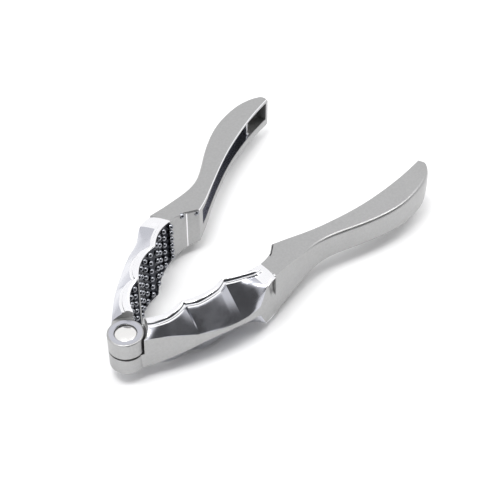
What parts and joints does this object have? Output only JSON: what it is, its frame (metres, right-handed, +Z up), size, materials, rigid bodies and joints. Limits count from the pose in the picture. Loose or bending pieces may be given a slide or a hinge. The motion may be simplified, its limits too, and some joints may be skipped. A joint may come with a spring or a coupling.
{
  "type": "nutcracker",
  "caption": "Hand nutcracker: two cast levers riveted at one end, studded cups of growing size between the jaws and hollow grips behind them.",
  "frame": {"origin": "middle of the footprint, on the level of the jaws' lower rims", "axes": "+X from the hinge to the handle tips along the plane in which the levers meet, +Y towards the lever with the upper knuckle, +Z up along the hinge axis"},
  "size_m": [0.1677, 0.1036, 0.029],
  "materials": {
    "lever_casting": "zinc alloy die casting with satin chrome plating, bright on the jaw rims and dark polished on the sloping jaw faces",
    "pin_steel": "polished steel rivet with a domed head"
  },
  "bodies": {
    "right": {"right_lever": "lever_casting", "hinge_pin": "pin_steel"},
    "left": {"left_lever": "lever_casting"}
  },
  "joints": [
    {"name": "lever_hinge", "type": "hinge", "parent": "right", "child": "left", "pos_m": [-0.0766, 0, 0.0145], "axis": [0, 0, 1], "range_deg": [-28.4, 150]}
  ]
}
